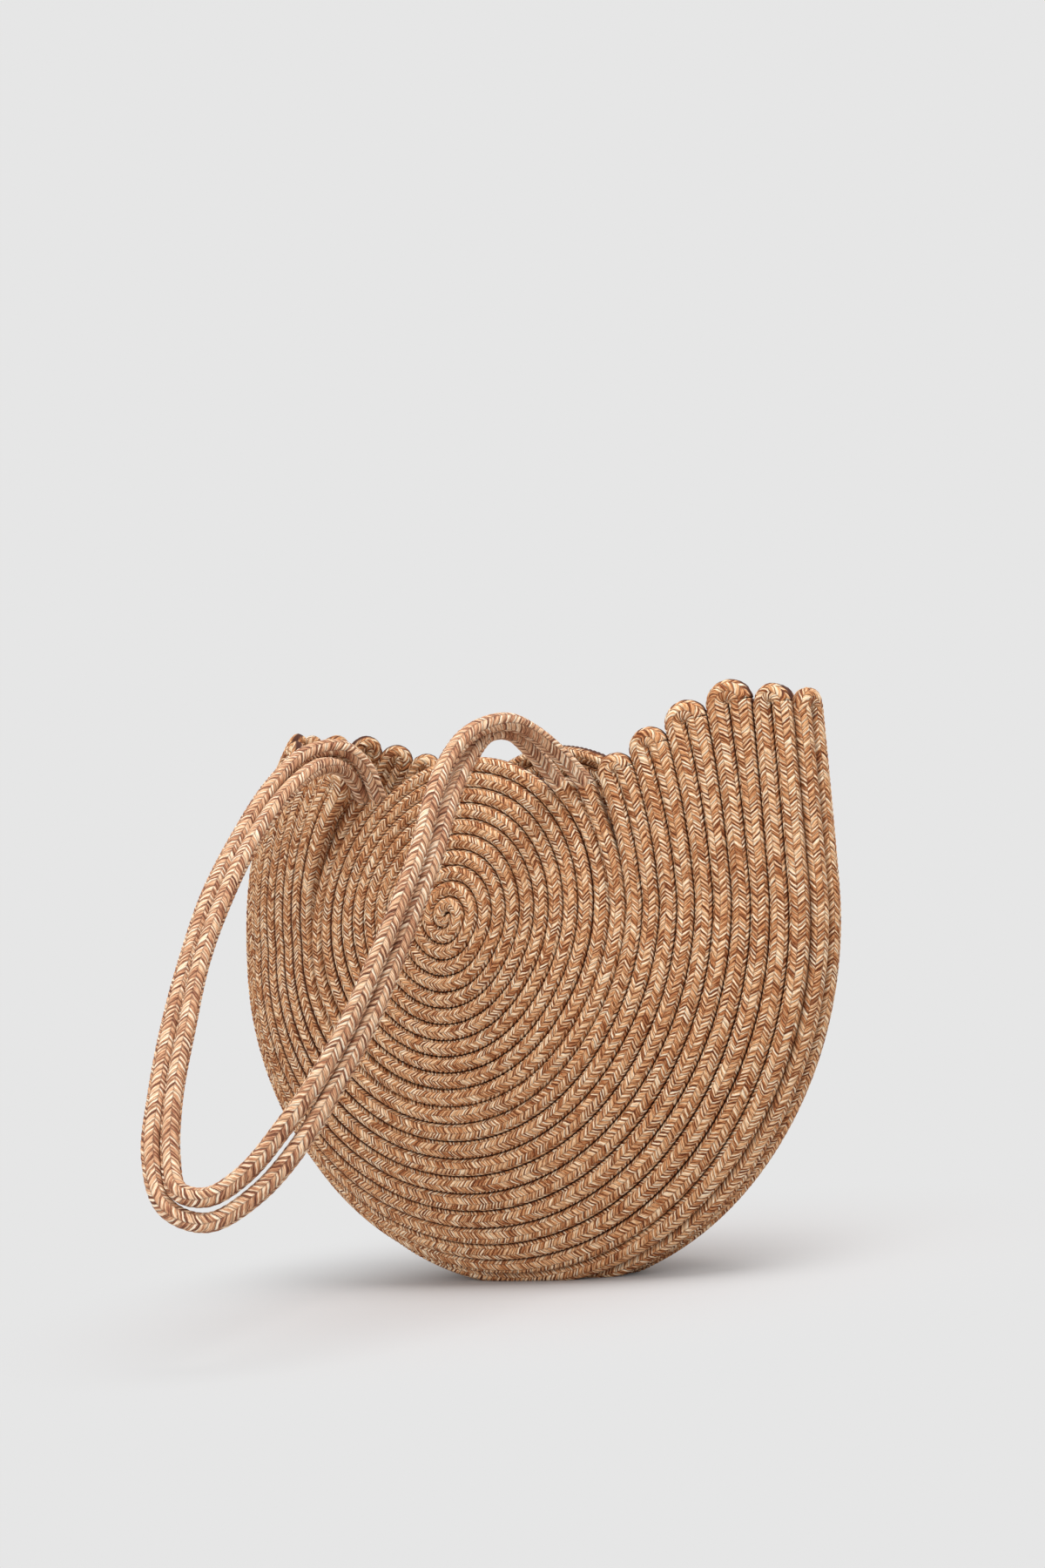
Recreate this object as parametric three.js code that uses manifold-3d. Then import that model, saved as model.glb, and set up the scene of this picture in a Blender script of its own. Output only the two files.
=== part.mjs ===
// Shoulder bag sewn from one thick braided straw cord. Two round discs are coiled from the middle outward,
// and U-shaped rows run on round them from wing to wing, turning back in small loops along the open top.
// Two cords of the same braid leave the front panel and make the shoulder strap, which has fallen forward.
// Millimetres, +Z up, +X along the width, front panel towards -Y, origin on the floor under the lowest row.
import * as THREE from "three";
import { mergeVertices } from "three/addons/utils/BufferGeometryUtils.js";
import Module from "manifold-3d";

// The cord and its rows
const CORD_WIDTH = 8; // across, towards the next row
const CORD_THICKNESS = 9.7; // through the wall of the bag
const ROW_PITCH = 9; // from one row to the next, in the discs
const OUTER_SPREAD = 0.13; // share by which the outermost rows lie further apart
const SPREAD_START = 10; // rows from the middle, where that begins
const SPREAD_LENGTH = 10; // rows over which it grows
const FIRST_ROW = 11; // first row round the disc
const LAST_ROW = 23; // last row before the middle plane
const HALF_ROWS = 23.69; // rows from a disc's middle to the bag's middle plane
const LAST_ROW_PLACE = 23.15; // where the last row's middle lies, in rows
const LEFT_SHIFT = 0.12; // rows by which the inner rows give way to the disc on the left
const ROOT_ROW_SHARE = 0.7; // share of that which the first row takes
const END_GAP = 0.3; // between the ends of two cords that meet

// The discs
const COIL_START = 0.55; // rows from the middle to the cord's first point
const COIL_PHASE = -0.3; // rows at angle zero of turn zero
const DISC_ROWS = 10; // full turns in a disc
const DISC_SHIFT_X = -1.5; // the disc's middle against the middle of the U rows
const DISC_SHIFT_Z = 6;
const FRONT_COIL_END = 321; // degrees clockwise from the top, where the strap begins
const BACK_COIL_END = 93.6; // degrees past the last full turn, where the first back row ends

// The panels, seen from the front, with angles clockwise from the top
const PANEL_DEPTH = 53.5; // from the middle plane to a disc's middle
const TILT_RIGHT = 30.5; // how far the panel leans in towards its right side
const TILT_TOP = 54; // and towards its top
const BEND_TOP = -0.5; // how far it curves inward, at the top, right, bottom and left
const BEND_RIGHT = 34;
const BEND_BOTTOM = 82;
const BEND_LEFT = 56;
const EDGE_TOP = 6; // the greater, the later the panel turns over to the middle plane
const EDGE_RIGHT = 9.25;
const EDGE_BOTTOM = 7.25;
const EDGE_LEFT = 10.2;
const STEEPEST = 76; // degrees, steepest slope of the wall towards the middle plane
const ROUND_START = 21.45; // row from which the wall rounds off to that slope
const ROUND_LENGTH = 1.55;
const WARP_X = 0.075; // the whole bag is pushed askew, backwards by this share of the way to the right
const WARP_Z = 0.03; // and by this share of the height above the disc's middle
const WARP_MIDDLE = -5.4; // how far forward the middle plane is pushed at the disc's middle

// The wings beside the discs
const RIGHT_WING_TOP = 102;
const RIGHT_WING_PEAK = 19; // the row, counted from the disc's middle, that reaches it
const RIGHT_RISE = 5.3; // each row nearer to the disc ends this much lower
const RIGHT_FALL = 2; // and each row past the peak this much
const LEFT_WING_TOP = 122;
const LEFT_WING_PEAK = 21;
const LEFT_RISE = 4;
const RIGHT_LEAN_INNER = 210; // radius to which the rows bend inward above the disc's middle
const RIGHT_LEAN_OUTER = 5000;
const LEAN_START = 12.65; // rows over which the right wing's bend eases off
const LEAN_LENGTH = 8;
const LOOP_RISE = 1.15; // height of a turning loop against half its width
const LEFT_LEAN = 212; // the same for the outermost left row, round whose centre the others bend too
const LEFT_OPENING = 0.15; // share of its depth that the left wing gains in OPENING_HEIGHT
const OPENING_HEIGHT = 100;

// How it stands
const ORIGIN_Y = -25.5; // the origin is under the last front row, this far behind the discs' line of middles
const LEAN_BACK = 3; // degrees
const DISC_HEIGHT = 198.5; // front disc's middle above the floor
const FLAT_CUT = 0.97; // depth of the flat worn into a row where it rests
const PRESS_BLEND = 3; // height over which a pressed row turns its flat side down

// The strap
const STRAP_CORD = 9.4;
const ROOT_CORD = 8.3; // each cord is drawn in where it leaves the panel
const ROOT_TAPER = 18;
const ROOT_GAP = 0.4; // between the rounded end of a strap cord and the row that it continues
const ROOT_LEFT = [-73.5, -44.8, 83.5]; // two points of the line on which the strap folds
const ROOT_RIGHT = [88, -27, 70];
const ROOT_ROW_START = 44.5; // degrees clockwise from the top, where the first U row begins and ends
const ROOT_ROW_END = 318;
const ROOT_STEER = 45; // length over which a row swings into its strap cord
const INNER_ROOT_LEFT_X = -61.5;
const OUTER_ROOT_LEFT_X = -73.5;
const INNER_ROOT_RIGHT_X = 70;
const OUTER_ROOT_RIGHT_X = 88;
// Points of each cord between its roots, from the right root to the left, from the disc's middle
const INNER_STRAP = [
  [68, -36, 82], [71, -51, 93], [75, -69, 102], [79, -91, 101], [85, -116, 85], [91, -138, 63],
  [96, -157, 38], [96, -174, 14], [94, -190, -11], [90, -207, -38], [82, -225, -65], [71, -243, -92],
  [56, -262, -114], [36, -278, -125], [15, -286, -116], [1, -281, -93], [-11, -264, -63], [-23, -242, -30],
  [-35, -217, 2], [-43, -192, 34], [-49, -162, 65], [-54, -130, 93], [-57, -99, 111], [-57, -72, 113],
  [-58, -55, 102],
];
const OUTER_STRAP = [
  [84, -35, 82], [84, -59, 99], [88, -86, 106], [88, -114, 100], [91, -137, 84], [95, -154, 65],
  [97, -169, 41], [97, -185, 17], [94, -201, -8], [89, -217, -34], [80, -233, -60], [67, -250, -84],
  [53, -266, -104], [37, -277, -113], [21, -282, -109], [10, -276, -94], [-1, -262, -66], [-11, -242, -34],
  [-23, -218, 0], [-31, -193, 30], [-39, -163, 60], [-44, -130, 87], [-50, -101, 101], [-58, -78, 103],
  [-65, -61, 98],
];

// Facets
const LOOP_STEPS = 24;
const LEG_STEPS = 4;
const HAIRPIN_STEPS = 4;
const CORD_SIDES = 6;
const STRAP_STEPS = 64;
const STRAP_SIDES = 8;
const STRAP_TIPS = [40, 75]; // degrees round each end of a strap cord at which a ring stands

// Steps of the sums
const PROFILE_STEPS = 96;
const HALVINGS = 40; // of the search for the slopes' scale
const HIGHEST_SCALE = 4;
const ROW_NUDGE = 0.1; // small steps by which a direction is measured
const ANGLE_NUDGE = 0.02;
const TURN_NUDGE = 0.01;
const HEIGHT_NUDGE = 1;
const EDGE_ON = 0.2; // below this a wall's outward direction counts as level with the middle plane
const LAP_SHARE = 0.6; // of a turn, from which two points of a coil lie on neighbouring turns
const MERGE_DISTANCE = 1e-4;
const FLOOR_WIDTH = 900; // block below the floor that cuts the resting rows flat
const FLOOR_DEPTH = 40;

// Colours of the straw
const STRAW = 0xc89b6e;
const STRAW_STRAP = 0xd0a678;
const STRAW_ROUGHNESS = 0.85;

const wasm = await Module();
wasm.setup();

const FULL = 2 * Math.PI;
const RIGHT = Math.PI / 2;
const LEFT = 1.5 * Math.PI;
const radians = THREE.MathUtils.degToRad;
const clamp = THREE.MathUtils.clamp;
const smooth = (x) => THREE.MathUtils.smoothstep(x, 0, 1);

// Length along the wall for each row step, which grows in the outer rows
function rowLength(row) {
  return ROW_PITCH * (1 + OUTER_SPREAD * clamp((row - SPREAD_START) / SPREAD_LENGTH, 0, 1));
}

// Four values, for the top, right, bottom and left, blended round the circle
function around(angle, top, right, bottom, left) {
  const c = Math.cos(angle);
  const s = Math.sin(angle);
  return (c > 0 ? top : bottom) * c * c + (s > 0 ? right : left) * s * s;
}

const WALL_STEPS = Array.from({ length: PROFILE_STEPS }, (_, i) => {
  const row = ((i + 0.5) / PROFILE_STEPS) * HALF_ROWS;
  return { row, length: (rowLength(row) * HALF_ROWS) / PROFILE_STEPS };
});
const WALL_LENGTH = WALL_STEPS.reduce((sum, step) => sum + step.length, 0);
const STEEPEST_SLOPE = Math.sin(radians(STEEPEST));

// The wall's section in one direction from the disc's middle, its radius and depth at even steps of the rows
const profiles = new Map();
function profile(angle, depthShare) {
  const key = angle.toFixed(6) + " " + depthShare.toFixed(6);
  if (profiles.has(key)) {
    return profiles.get(key);
  }
  const tilt = TILT_RIGHT * Math.sin(angle) + TILT_TOP * Math.cos(angle);
  const bend = around(angle, BEND_TOP, BEND_RIGHT, BEND_BOTTOM, BEND_LEFT);
  const edge = around(angle, EDGE_TOP, EDGE_RIGHT, EDGE_BOTTOM, EDGE_LEFT);
  const rim = PANEL_DEPTH - tilt - bend;
  const plain = WALL_STEPS.map(({ row }) => {
    const t = row / HALF_ROWS;
    return (tilt + 2 * bend * t + rim * edge * t ** (edge - 1)) / WALL_LENGTH;
  });
  // The slopes are scaled until their depths add up to the panel's depth
  const slopes = (scale) =>
    plain.map((slope, i) => {
      const rounding = smooth((WALL_STEPS[i].row - ROUND_START) / ROUND_LENGTH);
      return Math.max(Math.min(slope * scale, STEEPEST_SLOPE), STEEPEST_SLOPE * rounding);
    });
  const depthOf = (list) => list.reduce((sum, slope, i) => sum + slope * WALL_STEPS[i].length, 0);
  let low = 0;
  let high = HIGHEST_SCALE;
  for (let i = 0; i < HALVINGS; i++) {
    const middle = (low + high) / 2;
    if (depthOf(slopes(middle)) > PANEL_DEPTH * depthShare) {
      high = middle;
    } else {
      low = middle;
    }
  }
  const radius = [0];
  const depth = [PANEL_DEPTH * depthShare];
  slopes(low).forEach((slope, i) => {
    const { length } = WALL_STEPS[i];
    radius.push(radius[i] + length * Math.sqrt(1 - slope * slope));
    depth.push(depth[i] - length * slope);
  });
  profiles.set(key, { radius, depth });
  return profiles.get(key);
}

function wall(row, angle, depthShare = 1) {
  const { radius, depth } = profile(angle, depthShare);
  const place = clamp((row / HALF_ROWS) * PROFILE_STEPS, 0, PROFILE_STEPS - 1e-6);
  const i = Math.floor(place);
  const mix = place - i;
  return {
    radius: radius[i] + (radius[i + 1] - radius[i]) * mix,
    depth: depth[i] + (depth[i + 1] - depth[i]) * mix,
  };
}

// A point of the panel below the disc's middle, with side -1 for the front and 1 for the back
function bowlPoint(row, angle, side) {
  const { radius, depth } = wall(row, angle);
  return new THREE.Vector3(radius * Math.sin(angle), side * depth, radius * Math.cos(angle));
}

// The radius to which a row bends inward above the disc's middle
function wingBend(row, radius, hand) {
  if (hand < 0) {
    return LEFT_LEAN - wall(HALF_ROWS, LEFT).radius + radius;
  }
  const outer = clamp((row - LEAN_START) / LEAN_LENGTH, 0, 1);
  return 1 / ((1 - outer) / RIGHT_LEAN_INNER + outer / RIGHT_LEAN_OUTER);
}

// A point of a wing, above the disc's middle
function wingPoint(row, height, hand, side) {
  const angle = hand > 0 ? RIGHT : LEFT;
  const opening = hand > 0 ? 0 : LEFT_OPENING;
  const { radius, depth } = wall(row, angle, 1 + (opening * height) / OPENING_HEIGHT);
  const bend = wingBend(row, radius, hand);
  const lean = bend - Math.sqrt(bend * bend - height * height);
  return new THREE.Vector3(hand * (radius - lean), side * depth, height);
}

// A point of a disc's coil, whose turns run clockwise from the front and the other way at the back
function discPoint(row, turns, side) {
  const point = bowlPoint(row, THREE.MathUtils.euclideanModulo(-side * turns * FULL, FULL), side);
  point.x -= side * DISC_SHIFT_X;
  point.z += DISC_SHIFT_Z;
  return point;
}

// Where a U row lies, in rows from the disc's middle: the first follows the disc, the last the middle plane
function rowPlace(row, angle, side) {
  const seen = side < 0 ? angle : FULL - angle;
  const shift = (DISC_SHIFT_X * Math.sin(seen) + DISC_SHIFT_Z * Math.cos(seen)) / ROW_PITCH;
  const disc = DISC_ROWS + COIL_PHASE + seen / FULL + shift;
  const even = disc + ((row - DISC_ROWS) * (LAST_ROW_PLACE - disc)) / (LAST_ROW - DISC_ROWS);
  const share = row === FIRST_ROW ? ROOT_ROW_SHARE : (LAST_ROW - row) / (LAST_ROW - FIRST_ROW);
  return even + LEFT_SHIFT * share * smooth((angle - Math.PI) / RIGHT);
}

function wingTop(row, hand) {
  if (hand < 0) {
    return LEFT_WING_TOP - LEFT_RISE * Math.max(LEFT_WING_PEAK - row, 0);
  }
  const past = row - RIGHT_WING_PEAK;
  return RIGHT_WING_TOP - (past < 0 ? -past * RIGHT_RISE : past * RIGHT_FALL);
}

// Stations along a row, each giving a point for any row number near it, so that the wall's own slope is known
const bowlStation = (angle, side) => (row) => bowlPoint(row, angle, side);
const wingStation = (height, hand, side) => (row) => wingPoint(row, height, hand, side);

// Pushes the bag askew, leans it back and lifts it to its height
const WARP = new THREE.Matrix4().set(1, 0, 0, 0, WARP_X, 1, WARP_Z, WARP_MIDDLE, 0, 0, 1, 0, 0, 0, 0, 1);
const STAND = new THREE.Matrix4()
  .makeTranslation(0, 0, DISC_HEIGHT)
  .multiply(new THREE.Matrix4().makeRotationX(-radians(LEAN_BACK)))
  .multiply(WARP);
const LOWEST = CORD_THICKNESS / 2 - FLAT_CUT; // a row that rests has its middle this high

// Turns stations into a centre line, standing on the floor, with the wall's outward direction at each point
function standing(stations) {
  const stand = (place) => place.applyMatrix4(STAND);
  return stations.map(({ at, row, side, next }) => {
    const point = stand(at(row));
    const across = stand(at(row + ROW_NUDGE)).sub(stand(at(row - ROW_NUDGE)));
    const along = stand(next()).sub(point);
    const out = new THREE.Vector3().crossVectors(across, along).normalize();
    const fromMiddle = new THREE.Vector3(point.x, 0, point.z - DISC_HEIGHT);
    const edgeOn = Math.abs(out.y) <= EDGE_ON;
    if (edgeOn ? out.dot(fromMiddle) < 0 : out.y * side < 0) {
      out.negate();
    }
    const pressed = clamp((LOWEST - point.z) / PRESS_BLEND, 0, 1);
    point.z = Math.max(point.z, LOWEST);
    out.lerp(new THREE.Vector3(0, 0, -1), pressed).normalize();
    return { point, out };
  });
}

function bowlStop(row, angle, side) {
  return { at: bowlStation(angle, side), row, side, next: () => bowlPoint(row, angle + ANGLE_NUDGE, side) };
}

function wingStop(row, height, hand, side) {
  const next = () => wingPoint(row, height + HEIGHT_NUDGE, hand, side);
  return { at: wingStation(height, hand, side), row, side, next };
}

// The height at which a row's leg gives way to its hairpin, square to the way that the wing leans there
function legTop(row, middle, hand) {
  const angle = hand > 0 ? RIGHT : LEFT;
  const top = wingTop(middle, hand);
  const { radius } = wall(middle, angle);
  const offset = wall(row, angle).radius - radius;
  return top + (offset * top) / wingBend(middle, radius, hand);
}

// The loop in the wing's wall by which one row turns back into the next
function hairpin(from, to, hand, side) {
  const angle = hand > 0 ? RIGHT : LEFT;
  const a = rowPlace(from, angle, side);
  const b = rowPlace(to, angle, side);
  const radius = (rowLength((a + b) / 2) * Math.abs(b - a)) / 2;
  return Array.from({ length: HAIRPIN_STEPS }, (_, i) => {
    const turn = (Math.PI * (i + 1)) / HAIRPIN_STEPS;
    const row = (a + b) / 2 + ((a - b) / 2) * Math.cos(turn);
    const rise = LOOP_RISE * radius * Math.sin(turn);
    return wingStop(row, legTop(row, (a + b) / 2, hand) + rise, hand, side);
  });
}

// The heights of a leg, from the disc's middle up to where its hairpin begins
function legHeights(row, mate, hand, side) {
  const angle = hand > 0 ? RIGHT : LEFT;
  const place = rowPlace(row, angle, side);
  const top = legTop(place, (place + rowPlace(mate, angle, side)) / 2, hand);
  return Array.from({ length: LEG_STEPS }, (_, i) => (top * (i + 1)) / LEG_STEPS);
}

const line = new THREE.Line3(new THREE.Vector3(...ROOT_LEFT), new THREE.Vector3(...ROOT_RIGHT));
function rootPoint(x) {
  const share = (x - line.start.x) / (line.end.x - line.start.x);
  const point = line.at(share, new THREE.Vector3());
  point.z += DISC_HEIGHT;
  return point;
}

// Swings the end of a centre line on to a strap root and stops it short of the strap's rounded end
function steerTo(path, target) {
  const last = path[path.length - 1].point;
  const move = target.clone().sub(last);
  let toEnd = 0;
  let moved = last.clone();
  for (let i = path.length - 1; i >= 0; i--) {
    const before = path[i].point.clone();
    toEnd += before.distanceTo(moved);
    moved = before;
    path[i].point.addScaledVector(move, smooth(1 - toEnd / ROOT_STEER));
  }
  const back = path[path.length - 2].point.clone().sub(last).normalize();
  last.addScaledVector(back, ROOT_CORD / 2 + ROOT_GAP);
}

// Ends a path face to face with the start of the next
function meet(path, next) {
  const direction = next[1].point.clone().sub(next[0].point).normalize();
  const last = path[path.length - 1];
  last.point.copy(next[0].point).addScaledVector(direction, -END_GAP);
  last.out.copy(next[0].out);
  last.direction = direction;
}

// A closed tube of rings, each a list of points, with flat ends
function tube(rings) {
  const sides = rings[0].length;
  const positions = rings.flat().flatMap((p) => [p.x, p.y, p.z]);
  const faces = [];
  for (let i = 0; i + 1 < rings.length; i++) {
    for (let j = 0; j < sides; j++) {
      const a = i * sides + j;
      const b = i * sides + ((j + 1) % sides);
      faces.push(a, b, a + sides, b, b + sides, a + sides);
    }
  }
  const last = (rings.length - 1) * sides;
  for (let j = 1; j + 1 < sides; j++) {
    faces.push(0, j + 1, j);
    faces.push(last, last + j, last + j + 1);
  }
  const geometry = new THREE.BufferGeometry();
  geometry.setAttribute("position", new THREE.Float32BufferAttribute(positions, 3));
  geometry.setIndex(faces);
  return geometry;
}

// A six-sided cord laid along a path, two of its flats towards the neighbouring rows
function cordTube(path) {
  const rings = path.map(({ point, out, direction }, i) => {
    const before = path[Math.max(i - 1, 0)].point;
    const after = path[Math.min(i + 1, path.length - 1)].point;
    const along = direction ?? after.clone().sub(before).normalize();
    const through = out.clone().addScaledVector(along, -out.dot(along)).normalize();
    const across = new THREE.Vector3().crossVectors(along, through);
    return Array.from({ length: CORD_SIDES }, (_, j) => {
      const turn = (j * FULL) / CORD_SIDES;
      const wide = (Math.sin(turn) / Math.sin(FULL / CORD_SIDES)) * (CORD_WIDTH / 2);
      const thick = Math.cos(turn) * (CORD_THICKNESS / 2);
      return point.clone().addScaledVector(across, wide).addScaledVector(through, thick);
    });
  });
  return tube(rings);
}

// Cuts away what lies below the floor
const floorBlock = solidOf(
  new THREE.BoxGeometry(FLOOR_WIDTH, FLOOR_WIDTH, FLOOR_DEPTH).translate(0, 0, -FLOOR_DEPTH / 2),
);
function solidOf(geometry) {
  const bare = geometry.clone();
  bare.deleteAttribute("normal");
  bare.deleteAttribute("uv");
  const merged = mergeVertices(bare, MERGE_DISTANCE);
  const vertProperties = new Float32Array(merged.attributes.position.array);
  const triVerts = new Uint32Array(merged.index.array);
  return new wasm.Manifold(new wasm.Mesh({ numProp: 3, vertProperties, triVerts }));
}
function cutFlat(geometry) {
  const mesh = solidOf(geometry).subtract(floorBlock).getMesh();
  const cut = new THREE.BufferGeometry();
  cut.setAttribute("position", new THREE.Float32BufferAttribute(mesh.vertProperties, 3));
  cut.setIndex(Array.from(mesh.triVerts));
  return cut;
}

const bag = new THREE.Group();
function addMesh(name, geometry, color) {
  geometry.translate(0, -ORIGIN_Y, 0);
  geometry.computeVertexNormals();
  const material = new THREE.MeshStandardMaterial({ color, roughness: STRAW_ROUGHNESS, metalness: 0 });
  const mesh = new THREE.Mesh(geometry, material);
  mesh.name = name;
  bag.add(mesh);
}

// A disc's coil, as turns from its middle outward
function discPath(side, endTurns) {
  const start = COIL_START - COIL_PHASE;
  const steps = Math.round((endTurns - start) * LOOP_STEPS);
  const stops = Array.from({ length: steps + 1 }, (_, i) => {
    const turns = start + ((endTurns - start) * i) / steps;
    return {
      at: (row) => discPoint(row, turns, side),
      row: turns + COIL_PHASE,
      side,
      next: () => discPoint(turns + TURN_NUDGE + COIL_PHASE, turns + TURN_NUDGE, side),
    };
  });
  return standing(stops);
}

// The least gap between the turns of a coil, measured from point to segment
function coilGap(path) {
  let least = Infinity;
  const segment = new THREE.Line3();
  const nearest = new THREE.Vector3();
  for (let i = 0; i < path.length; i++) {
    for (let j = i + Math.round(LOOP_STEPS * LAP_SHARE); j + 1 < path.length; j++) {
      segment.set(path[j].point, path[j + 1].point);
      segment.closestPointToPoint(path[i].point, true, nearest);
      least = Math.min(least, nearest.distanceTo(path[i].point) - CORD_WIDTH);
    }
  }
  return least;
}

// One U row, from its right end to its left, with the hairpin that leads on from it
function rowPath(row, side, rightMate, leftMate, hairpinHand) {
  const right = rightMate ? legHeights(row, rightMate, 1, side).reverse() : [];
  const left = leftMate ? legHeights(row, leftMate, -1, side) : [];
  const place = (angle) => rowPlace(row, angle, side);
  const arc = Array.from({ length: LOOP_STEPS / 2 + 1 }, (_, i) => RIGHT + (i * FULL) / LOOP_STEPS);
  const stops = [
    ...right.map((height) => wingStop(place(RIGHT), height, 1, side)),
    ...arc.map((angle) => bowlStop(place(angle), angle, side)),
    ...left.map((height) => wingStop(place(LEFT), height, -1, side)),
  ];
  if (hairpinHand > 0) {
    stops.unshift(...hairpin(row, rightMate, 1, side).reverse());
  }
  if (hairpinHand < 0) {
    stops.push(...hairpin(row, leftMate, -1, side));
  }
  return stops;
}

// The hairpin on to the far side of the middle plane joins the last front row to the last back row
function bridgePath() {
  const place = rowPlace(LAST_ROW, RIGHT, -1);
  const front = wingPoint(place, wingTop(place, 1), 1, -1);
  const radius = -front.y;
  return Array.from({ length: HAIRPIN_STEPS }, (_, i) => {
    const turn = (Math.PI * (i + 1)) / HAIRPIN_STEPS;
    const point = new THREE.Vector3(front.x, -radius * Math.cos(turn), front.z + radius * Math.sin(turn));
    return { point: point.applyMatrix4(STAND), out: new THREE.Vector3(1, 0, 0) };
  });
}

// Row 11 of the front runs from strap root to strap root round the disc
function rootRowPath() {
  const from = radians(ROOT_ROW_START);
  const to = radians(ROOT_ROW_END);
  const steps = Math.round(((to - from) / FULL) * LOOP_STEPS);
  const stops = Array.from({ length: steps + 1 }, (_, i) => {
    const angle = from + ((to - from) * i) / steps;
    return bowlStop(rowPlace(FIRST_ROW, angle, -1), angle, -1);
  });
  return standing(stops);
}

// Every length of cord, in the order in which one long cord would run through the bag
const lengths = [];

// The front disc, whose outer end runs into the strap
const frontDisc = discPath(-1, DISC_ROWS + FRONT_COIL_END / 360);
steerTo(frontDisc, rootPoint(INNER_ROOT_LEFT_X));
lengths.push({ name: "front_disc_coil", path: frontDisc });

// The first U row of the front, from strap root to strap root round the disc
const rootRow = rootRowPath();
steerTo(rootRow, rootPoint(OUTER_ROOT_LEFT_X));
rootRow.reverse();
steerTo(rootRow, rootPoint(INNER_ROOT_RIGHT_X));
rootRow.reverse();
lengths.push({ name: "front_row_" + FIRST_ROW, path: rootRow });

// The other rows of the front, odd ones turning back at the right and even ones at the left
for (let row = FIRST_ROW + 1; row <= LAST_ROW; row++) {
  const odd = row % 2 === 1;
  const rightMate = row === LAST_ROW ? row : odd ? row + 1 : row - 1;
  const leftMate = odd ? row - 1 : row + 1;
  const hand = row === LAST_ROW ? 0 : odd ? 1 : -1;
  const path = standing(rowPath(row, -1, rightMate, leftMate, hand));
  if (row === LAST_ROW) {
    path.unshift(...bridgePath().reverse());
  }
  if (odd) {
    path.reverse();
  }
  if (row === FIRST_ROW + 1) {
    const root = rootPoint(OUTER_ROOT_RIGHT_X);
    path.splice(0, path.findIndex(({ point }) => point.z < root.z));
    path.unshift({ point: root.clone(), out: path[0].out.clone() });
    path.reverse();
    steerTo(path, root);
    path.reverse();
  }
  lengths.push({ name: "front_row_" + row, path, joined: row > FIRST_ROW + 1 });
}

// The rows of the back, from the middle plane inward, until the last runs into the disc
for (let row = LAST_ROW; row >= FIRST_ROW; row--) {
  const odd = row % 2 === 1;
  const rightMate = row === LAST_ROW ? row : odd ? row + 1 : row - 1;
  const leftMate = row === FIRST_ROW ? 0 : odd ? row - 1 : row + 1;
  const hand = row === FIRST_ROW ? 0 : odd ? -1 : 1;
  const path = standing(rowPath(row, 1, rightMate, leftMate, hand));
  if (!odd) {
    path.reverse();
  }
  lengths.push({ name: "back_row_" + row, path, joined: true });
}
const backDisc = discPath(1, DISC_ROWS + 1 + BACK_COIL_END / 360);
lengths.push({ name: "back_disc_coil", path: [...backDisc].reverse(), joined: true });

const gap = Math.min(coilGap(frontDisc), coilGap(backDisc));
console.log("least gap between the turns of a disc: " + gap.toFixed(2) + " mm");

lengths.forEach(({ path, joined }, i) => {
  if (joined) {
    meet(lengths[i - 1].path, path);
  }
});
for (const { name, path } of lengths) {
  addMesh(name, cutFlat(cordTube(path)), STRAW);
}

// A strap cord, round, with both ends rounded off about a point of the folding line
function strapCord(name, rootRight, middle, rootLeft) {
  const points = middle.map(([x, y, z]) => new THREE.Vector3(x, y, z + DISC_HEIGHT));
  const curve = new THREE.CatmullRomCurve3([rootRight, ...points, rootLeft], false, "centripetal");
  const length = curve.getLength();
  const frames = curve.computeFrenetFrames(STRAP_STEPS, false);
  const ring = (centre, i, radius) =>
    Array.from({ length: STRAP_SIDES }, (_, j) => {
      const turn = (j * FULL) / STRAP_SIDES;
      return centre
        .clone()
        .addScaledVector(frames.normals[i], Math.cos(turn) * radius)
        .addScaledVector(frames.binormals[i], Math.sin(turn) * radius);
    });
  const rings = [];
  for (let i = 0; i <= STRAP_STEPS; i++) {
    const share = i / STRAP_STEPS;
    const fromEnd = Math.min(share, 1 - share) * length;
    const radius = ROOT_CORD / 2 + ((STRAP_CORD - ROOT_CORD) / 2) * smooth(fromEnd / ROOT_TAPER);
    rings.push(ring(curve.getPointAt(share), i, radius));
  }
  // Two rings round off each end
  for (const tip of STRAP_TIPS) {
    const along = Math.sin(radians(tip)) * (ROOT_CORD / 2);
    const radius = Math.cos(radians(tip)) * (ROOT_CORD / 2);
    const first = rootRight.clone().addScaledVector(frames.tangents[0], -along);
    const last = rootLeft.clone().addScaledVector(frames.tangents[STRAP_STEPS], along);
    rings.unshift(ring(first, 0, radius));
    rings.push(ring(last, STRAP_STEPS, radius));
  }
  addMesh(name, tube(rings), STRAW_STRAP);
  console.log(name + ": " + length.toFixed(0) + " mm long");
}
strapCord("strap_cord_inner", rootPoint(INNER_ROOT_RIGHT_X), INNER_STRAP, rootPoint(INNER_ROOT_LEFT_X));
strapCord("strap_cord_outer", rootPoint(OUTER_ROOT_RIGHT_X), OUTER_STRAP, rootPoint(OUTER_ROOT_LEFT_X));

export default bag;
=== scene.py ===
import math

import bpy
import numpy as np
from mathutils import Matrix, Vector


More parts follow.
